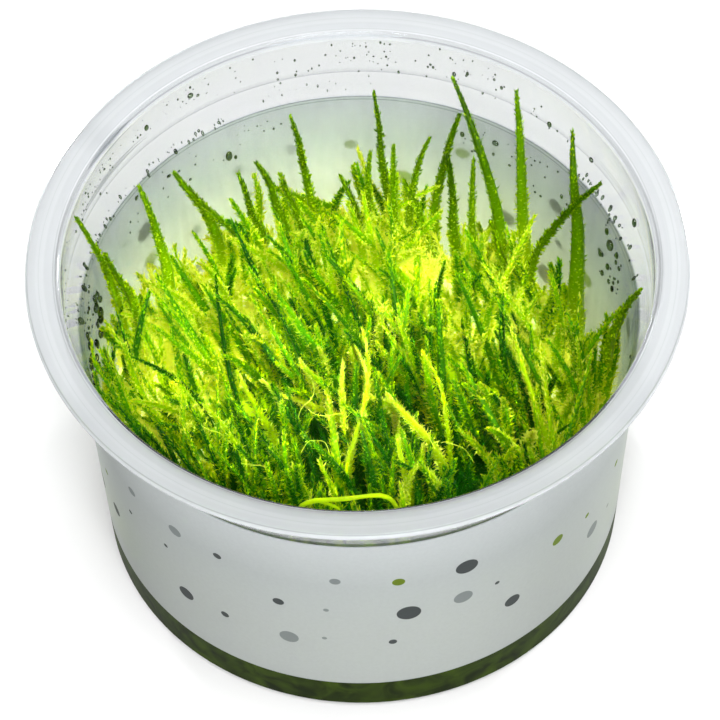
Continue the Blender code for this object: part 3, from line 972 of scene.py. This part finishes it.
# Tint and painted glow of shoots by their place: painted shade at the front, painted light and glow at the
# back and left, over random patches of brighter and darker growth
def growthAndPaintedLightTint(x, y, group, rng):
    share = backShare(x, y)
    tint, spread, low, seep = [
        np.interp(share, [0, 1], group[key]) for key in ("tint", "tintSpread", "low", "seep")
    ]
    tint = tint + paintedWallLight["tintPatchDepth"] * field(x, y, *paintedWallLight["tintPatches"])
    patches = paintedWallLight["seepPatchDepth"] * field(x, y, *paintedWallLight["seepPatches"])
    seep = seep * np.clip(paintedWallLight["seepPatchMiddle"] + patches, 0, paintedWallLight["seepMost"])
    return {
        "tint": tint + rng.normal(0, 1, len(x)) * spread,
        "low": low,
        "seep": seep * np.interp(x, paintedWallLight["leftToRight"], [1.0, group["rightPaintedGlow"]]),
    }


def makeTurf():
    rng = np.random.default_rng(turf["seed"])
    green = grownMoss("grownMossTurf", turfGreen)
    groups = [
        ("short_shoots", shortRoutes(rng), shortShoots, shortLook),
        ("fronds", frondRoutes(rng), fronds, frondLook),
    ]
    for name, routes, group, look in groups:
        grown = growthAndPaintedLightTint(routes[:, 0, 0], routes[:, 0, 1], group, rng)
        grown["routes"] = routes
        grown["width"] = rng.uniform(*group["width"], len(routes))
        grown["size"] = rng.uniform(*turf["leafSize"], len(routes))
        edges = np.quantile(routes[:, 0, 1], np.linspace(0, 1, turf["pieces"] + 1))
        edges[-1] += 1   # so that the rearmost shoot is in the last piece
        for number in range(turf["pieces"]):
            mine = (routes[:, 0, 1] >= edges[number]) & (routes[:, 0, 1] < edges[number + 1])
            heaps = leafyShoots({key: value[mine] for key, value in grown.items()}, look, rng)
            item = joinedPiece(f"moss_{name}_{number + 1}", heaps)
            finishPiece(item, [green], "moss", "moss_mat")
            print(name, number + 1, "faces", len(item.data.polygons))


makeTurf()

# Bed: the dense old growth under the shoots, down to the jelly
bed = {
    "sink": 3.5,            # how far its top lies below the turf's
    "bottom": 12.3,
    "top": 22.0,            # height of its flat top before it is shaped
    "hub": 2.0,             # radius of the faces that close its middle
    "lump": 1.0,
    "lumpSize": 4.0,
    "lumpSeed": 31,
    "segments": 120,
    "rings": 22,
}


def makeBed():
    room = float(innerRadius(turf["edgeZ"])) - turf["wallGap"]
    footRoom = float(innerRadius(bed["bottom"])) - turf["wallGap"]
    profile = [(bed["hub"], bed["bottom"]), (footRoom, bed["bottom"])]
    profile += [(radius, bed["top"]) for radius in np.linspace(room, bed["hub"], bed["rings"]).tolist()]
    item = turnedPiece("moss_bed", profile, bed["segments"], False)
    mesh = item.data
    places = np.zeros(len(mesh.vertices) * 3)
    mesh.vertices.foreach_get("co", places)
    places = places.reshape(-1, 3) / mm
    top = places[:, 2] > bed["bottom"] + 1
    x, y = places[top, 0], places[top, 1]
    lumps = bed["lump"] * field(x, y, bed["lumpSize"], bed["lumpSeed"])
    places[top, 2] = turfHeight(x, y) - bed["sink"] + lumps
    mesh.vertices.foreach_set("co", (places * mm).ravel())
    mesh.update()
    # Painted shade at the front, painted light and a painted glow at the back
    share = backShare(places[:, 0], places[:, 1])
    tint, seep = np.interp(share, [0, 1], paintedWallLight["bedTint"]), share * paintedWallLight["bedPaintedGlow"]
    writeValues(mesh, {"tint": tint, "reach": tint * 0, "leafAlong": tint * 0, "seep": seep})
    finishPiece(item, [grownMoss("grownMossBed", bedGreen)], "moss", "moss_mat")


makeBed()
print("bed laid")

# Long stems: leafy, in place of the CAD stems, each along its own node
longStems = {
    "nodes": sorted(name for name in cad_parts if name.startswith("moss_stem_")),
    "root": 3.0,            # how far a stem reaches down into the turf
    "tint": (0.06, 0.28),
    # Near the foot: added tint (painted light) and a painted glow
    "low": 0.35,
    "seep": 0.5,
    "width": [              # at the foot, one for each stem
        0.9, 1.1, 2.1, 1.5, 0.7, 1.1, 1.6, 1.1, 1.4, 1.2, 1.2, 0.8,
        0.9, 0.7, 1.2, 1.4, 1.9, 1.0, 1.3, 0.7, 1.9, 3.0, 0.8, 1.8,
    ],
    "waver": 0.25,
    "steps": 16,
    "levels": 6,            # heights at which a CAD stem is read
    "corners": 6,           # points of its mesh that are read at each
    "reach": 0.3,           # how much further up or down another point still counts
    "seed": 21,
}
stemLook = dict(
    frondLook, corners=8, thickness=0.85, tipWidth=0.4, footShare=0.9, point=1.5, bare=0.02,
    leaves=[
        dict(scales, number=330, rankSpread=20,
             opening=(30, 12), length=0.85, width=0.4, tint=(-0.08, 0.16)),
        dict(hooks, number=170, ranks=(0, 180, 0, 180, 40, 220), rankSpread=14,
             opening=(46, 16), length=0.9, width=0.32, tint=(0.02, 0.14)),
    ],
)


# The middle of a CAD stem from its foot to its tip, read from its own mesh
def stemMiddle(node):
    points = np.array([vert.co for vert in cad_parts[node].data.vertices]) / mm
    middles = []
    for height in np.linspace(points[:, 2].min(), points[:, 2].max(), longStems["levels"]):
        near = np.abs(points[:, 2] - height)
        furthest = np.sort(near)[min(longStems["corners"], len(near)) - 1]
        ring = points[near <= furthest + longStems["reach"]]
        middles.append([*ring[:, :2].mean(axis=0), height])
    return np.array(middles)


def makeLongStems():
    rng = np.random.default_rng(longStems["seed"])
    green = grownMoss("grownMossStem", stemGreen)
    for node, width in zip(longStems["nodes"], longStems["width"]):
        middle = stemMiddle(node)
        middle[1:-1, :2] += rng.normal(0, longStems["waver"], (len(middle) - 2, 2))
        foot = middle[0] - [0, 0, longStems["root"]]
        route = smoothRoute(np.vstack([foot, middle]), longStems["steps"])
        grown = {
            "routes": keepInside(route, turf["wallGap"])[None], "width": [width], "size": [1.0],
            "tint": rng.uniform(*longStems["tint"], 1),
            "low": [longStems["low"]], "seep": [longStems["seep"]],
        }
        heaps = leafyShoots({key: np.array(value) for key, value in grown.items()}, stemLook, rng)
        item = joinedPiece(node.replace("moss_stem", "leafy_stem"), heaps)
        finishPiece(item, [green], "moss", node)


makeLongStems()
print("long stems grown")


# Makes a piece of shoots that are placed one by one, each by a few rough points and a width
def makePlaced(name, group, look, green, tint, rng):
    routes = np.array([smoothRoute(points, group["steps"]) for points, width in group["routes"]])
    width = np.array([width for points, width in group["routes"]])
    grown = {"routes": routes, "width": width, "tint": tint}
    grown.update(size=np.ones(len(width)), low=width * 0, seep=width * 0)
    item = joinedPiece(name, leafyShoots(grown, look, rng))
    finishPiece(item, [green], "pale_moss", group["cad"])


# Pale shoots: the freshest growth, which stands out at the front
paleShoots = {
    "cad": "moss_mat",
    "routes": [   # from foot to tip, and the width of its body
        ([(-3.5, -21.5, 27), (-2.3, -18.5, 35), (-1, -16, 38), (0, -13.5, 40.5), (1.5, -8.5, 42.5),
          (-0.5, -3.5, 44)], 1.0),
        ([(-2.5, -20, 27), (-1.8, -17.5, 36), (0.2, -13.3, 40.5), (1.4, -9.2, 42), (1.1, -2.6, 43.5),
          (0.5, 0, 44)], 0.8),
        ([(13, -16, 26), (11.4, -15.6, 33), (10, -15.1, 36), (8, -14.6, 39), (6, -13.7, 41.5),
          (3.9, -12.1, 43.5)], 1.05),
        ([(13.8, -17, 27), (13.4, -15.3, 35), (13, -13.6, 38), (12.4, -9.7, 41.5), (11.4, -7.8, 43),
          (9.6, -4.6, 44)], 0.9),
        ([(8, -24, 27), (7.2, -23.2, 33), (6.1, -21.7, 37), (5.5, -20.1, 40), (5.4, -18.9, 42)], 0.75),
        ([(6.2, -24.5, 32), (6.8, -24.2, 37), (7.5, -23.8, 39), (8.6, -22.9, 40)], 0.3),
        ([(12.2, -24, 30), (11.9, -23.9, 34), (11.3, -23.8, 36), (10.1, -23.5, 38.5),
          (8.6, -22.9, 40)], 0.35),
        ([(-12.5, -13, 29), (-14, -12, 35), (-16, -10.5, 38.5), (-17.5, -9, 41), (-18.8, -6.8, 43)], 0.8),
        ([(-9.5, -13, 30), (-11, -12, 36), (-12.3, -10.5, 40), (-13.8, -9.6, 43), (-15, -9, 43.5)], 0.8),
        ([(-17, -18, 29), (-18.6, -16.5, 36), (-21.3, -13.8, 39), (-23.8, -12.2, 42)], 0.8),
        ([(-2.6, -15.5, 38), (-2.9, -12, 42.5), (-2.9, -9, 43.4), (-2.6, -6.4, 44)], 0.4),
    ],
    "steps": 12,
    "tint": (0.15, 0.4),
    "seed": 4,
}
paleLook = dict(frondLook, point=2.4, bare=0.05, bodyTint=-0.05)


def makePaleShoots():
    rng = np.random.default_rng(paleShoots["seed"])
    tint = rng.uniform(*paleShoots["tint"], len(paleShoots["routes"]))
    green = grownMoss("grownMossPale", paleGreen)
    makePlaced("moss_pale_shoots", paleShoots, paleLook, green, tint, rng)


makePaleShoots()
print("pale shoots grown")

# Bare stems: the smooth one that bends over like a bridge at the front, and thin threads
bareStems = {
    "arched_stem": {"cad": "arching_stem", "tint": 0.2, "steps": 24, "routes": [
        ([(-11, -32, 34), (-9.8, -33.3, 44), (-9.0, -34.0, 46), (-7.4, -34.6, 47.7), (-5.3, -34.9, 48.2),
          (-2.7, -35.0, 48.4), (0, -34.6, 48.4), (2.3, -34.2, 48.2), (3.6, -34.0, 47.3),
          (4.6, -33.6, 45.5), (6.2, -32, 36)], 0.72),
        ([(-7.2, -34.7, 47.7), (-5.3, -35.1, 47.4), (-4.2, -34.8, 46.2), (-3.6, -34.0, 44),
          (-3.4, -32, 38)], 0.4),
    ]},
    "moss_threads": {"cad": "moss_mat", "tint": 0.6, "steps": 24, "routes": [
        ([(-7.3, -9.6, 43.8), (-7.0, -11.2, 43.2), (-7.9, -12.8, 43), (-9.3, -13.6, 42.6),
          (-10, -14, 38)], 0.08),
        ([(-2.6, -13, 40), (-3.9, -15.5, 43.4), (-5.5, -16.1, 43.6), (-7.4, -15.4, 43.4),
          (-8.3, -14, 43.2)], 0.07),
        ([(-9.5, -19, 38), (-8.2, -20, 43), (-7, -20.6, 43.6), (-5.6, -20.2, 43), (-5, -19, 38)], 0.07),
        ([(11, -18.5, 38), (9.7, -18.4, 42.6), (8.4, -17.6, 43.2), (7.8, -16.4, 43), (8.2, -15, 42)], 0.08),
        ([(17, -20, 36), (15.6, -20.8, 41), (14, -21, 42.2), (12.6, -20.2, 42), (12, -19, 40)], 0.07),
        ([(-20, -16, 37), (-21.5, -17.4, 42), (-23.2, -17.4, 42.6), (-24.4, -16, 42)], 0.08),
        ([(-14, -22, 37), (-15, -23.6, 41.8), (-16.8, -24, 42.4), (-18.4, -23, 41.6)], 0.07),
    ]},
}
bareSeed = 6
bareLook = dict(
    frondLook, corners=8, thickness=0.9, footShare=1, point=30, tipWidth=0.06, bodyTint=0.1, leaves=[],
)


def makeBareStems():
    rng = np.random.default_rng(bareSeed)
    green = grownMoss("grownMossStalk", paleGreen)
    for name, group in bareStems.items():
        makePlaced(name, group, bareLook, green, np.full(len(group["routes"]), group["tint"]), rng)


makeBareStems()
print("bare stems bent")

# Droplets: condensation that clings to the inside of the cup
droplets = {
    "patches": [   # from and to: bearing in degrees, height; number, half width
        ((14, 25), (34, 48), 26, (0.15, 0.5)),
        ((6, 36), (48.3, 49.9), 24, (0.1, 0.4)),
        ((163, 184), (30, 47), 46, (0.15, 0.6)),
        ((165, 184), (32, 46), 16, (0.45, 0.85)),
        ((116, 184), (48.2, 49.6), 64, (0.1, 0.34)),
        ((120, 160), (54.5, 58.5), 60, (0.06, 0.2)),
        ((150, 200), (51, 58), 40, (0.08, 0.3)),
        ((80, 125), (51.8, 58.8), 40, (0.08, 0.22)),
        ((60, 95), (52, 59), 30, (0.08, 0.2)),
        ((84, 110), (48.3, 51.5), 16, (0.08, 0.2)),
        ((30, 68), (38, 47), 34, (0.1, 0.32)),
        ((105, 150), (40, 47), 34, (0.08, 0.3)),
        ((190, 350), (44, 57), 50, (0.1, 0.4)),
        ((40, 75), (51.5, 56), 26, (0.08, 0.3)),
    ],
    "spots": [     # single large drops: bearing, height, half width
        (124.5, 56.6, 0.55), (122.7, 55.6, 0.3), (136, 56.1, 0.45), (131, 48.6, 0.42), (139, 48.9, 0.32),
        (124.3, 49.3, 0.3), (126.1, 48.6, 0.25), (148, 49.3, 0.3), (118.4, 41.6, 0.6), (69.2, 54.1, 0.35),
        (24.4, 49.5, 0.4), (21.9, 49.4, 0.45), (19.8, 49.4, 0.35), (46.9, 52.5, 0.45), (34.6, 52.5, 0.5),
        (16.2, 52.9, 0.6), (19.9, 45.1, 0.9), (24.2, 39.5, 0.45), (20.3, 39.4, 0.5), (22.4, 36.1, 0.45),
        (172.2, 48.5, 0.55), (180.9, 48.7, 0.7), (158.2, 48.8, 0.28), (155.6, 48.7, 0.3),
        (153.3, 48.6, 0.28), (58, 44.5, 0.6), (66, 43.5, 0.4),
    ],
    "depth": 0.55,           # of its half width
    "stretch": (0.9, 1.8),   # up the wall, against its width
    "smallness": 0.5,        # the lower, the more of a patch's drops are small
    "gap": 0.02,
    "wallStep": 0.3,         # above and below a drop, where the wall's slope is read
    "segments": 10,
    "rings": 6,
    "paintedRimShades": [(0.0, "#BCC8B6"), (0.35, "#586C52"), (0.75, "#182410")],   # from its middle to its edge: a painted dark rim
    "roughness": 0.02,
    "ior": 1.33,
    "seed": 15,
}


# Condensed water: clear, with a painted dark rim: its colour darkens towards the edge, standing in for the
# dark green of the moss that the curved rim bends into view
def condensedWater():
    material, tree, shader = newMaterial("condensedWater")
    facing = addNode(tree, "LayerWeight", {"Blend": 0.5}).outputs["Facing"]
    colour = addNode(tree, "ValToRGB", {"Fac": facing})
    fillRamp(colour, droplets["paintedRimShades"])
    tree.links.new(colour.outputs["Color"], shader.inputs["Base Color"])
    shader.inputs["Roughness"].default_value = droplets["roughness"]
    shader.inputs["IOR"].default_value = droplets["ior"]
    shader.inputs["Transmission Weight"].default_value = 1.0
    return material


# A ball of radius 1 that stands on z = 0; the copies flatten it against the wall
def modelDrop():
    clearSelection()
    bpy.ops.mesh.primitive_uv_sphere_add(
        segments=droplets["segments"], ring_count=droplets["rings"], radius=1,
    )
    item = bpy.context.object
    bpy.ops.object.mode_set(mode="EDIT")
    bpy.ops.mesh.select_all(action="SELECT")
    bpy.ops.transform.translate(value=(0, 0, 1))
    bpy.ops.object.mode_set(mode="OBJECT")
    return readPattern(item)


def makeDroplets():
    rng = np.random.default_rng(droplets["seed"])
    rows = list(droplets["spots"])
    for bearings, heights, number, (least, most) in droplets["patches"]:
        for share in rng.power(droplets["smallness"], number):
            half = least + (most - least) * share
            rows.append((rng.uniform(*bearings), rng.uniform(*heights), half))
    bearing, height, half = np.array(rows).T
    bearing = np.radians(bearing)
    room = innerRadius(height) - droplets["gap"]
    outward = np.column_stack([np.cos(bearing), np.sin(bearing), np.zeros(len(rows))])
    step = droplets["wallStep"]
    slope = (innerRadius(height + step) - innerRadius(height - step)) / (2 * step)
    along = unit(outward * slope[:, None] + np.array([0, 0, 1.0]))
    across = np.cross(along, outward)
    inward = unit(np.cross(along, across))
    inward = inward * -np.sign(np.sum(inward * outward, axis=1))[:, None]
    places = outward * room[:, None] + np.array([0, 0, 1.0]) * height[:, None]
    stretch = rng.uniform(*droplets["stretch"], len(rows))
    heap = copiesOf(
        modelDrop(), places, along * (half * stretch)[:, None], across * half[:, None],
        inward * (half * droplets["depth"])[:, None], {},
    )
    item = joinedPiece("condensed_drops", [heap])
    finishPiece(item, [condensedWater()], "clear_plastic", "cup")


makeDroplets()
print("droplets set")

# Floor and lights: a plain pale table and soft studio light
studio = {
    "floor": "#DDDDDD",
    "floorSize": 4000,
    "floorRoughness": 0.9,
    "zenith": "#FFFFFF",
    "horizon": "#A2A5A8",
    "skyStrength": 0.7,
    "lamps": {   # place and aim in mm, size of its disk in mm, spread in degrees, power in watts
        "keyLamp": ((110, -210, 690), (-1, 1, 60), 70, 1.6, 0.08),
        "backLamp": ((370, 310, 44), (0, 0, 24), 80, 180, 4.0),
        "lowLamp": ((-260, 400, 24), (0, 0, 24), 44, 180, 6.0),
        "topLamp": ((30, -230, 620), (0, 0, 30), 300, 180, 2.0),
        "frontLamp": ((60, -600, 300), (0, 0, 30), 500, 180, 5.6),
    },
}


def makeStudio():
    clearSelection()
    bpy.ops.mesh.primitive_plane_add(size=studio["floorSize"] * mm, location=(0, 0, 0))
    floor = bpy.context.object
    floor.name = "studio_floor"
    material, tree, shader = newMaterial("mattCard")
    shader.inputs["Base Color"].default_value = tone(studio["floor"])
    shader.inputs["Roughness"].default_value = studio["floorRoughness"]
    floor.data.materials.append(material)
    world = bpy.data.worlds.new("studioWorld")
    world.use_nodes = True
    sky = world.node_tree
    place = addNode(sky, "TexCoord").outputs["Generated"]
    height = addNode(sky, "SeparateXYZ", {"Vector": place}).outputs["Z"]
    colour = addNode(sky, "ValToRGB", {"Fac": height})
    fillRamp(colour, [(0.0, studio["horizon"]), (0.5, studio["zenith"])])
    background = sky.nodes["Background"]
    sky.links.new(colour.outputs["Color"], background.inputs["Color"])
    background.inputs["Strength"].default_value = studio["skyStrength"]
    bpy.context.scene.world = world
    for name, (place, aim, size, spread, power) in studio["lamps"].items():
        data = bpy.data.lights.new(name, "AREA")
        data.shape = "DISK"
        data.size = size * mm
        data.spread = math.radians(spread)
        data.energy = power
        item = bpy.data.objects.new(name, data)
        item.location = Vector(place) * mm
        sight = (Vector(aim) - Vector(place)) * mm
        item.rotation_mode = "QUATERNION"
        item.rotation_quaternion = sight.to_track_quat("-Z", "Y")
        bpy.context.scene.collection.objects.link(item)
    bpy.context.scene.view_settings.view_transform = "Standard"


makeStudio()
print("studio lit")
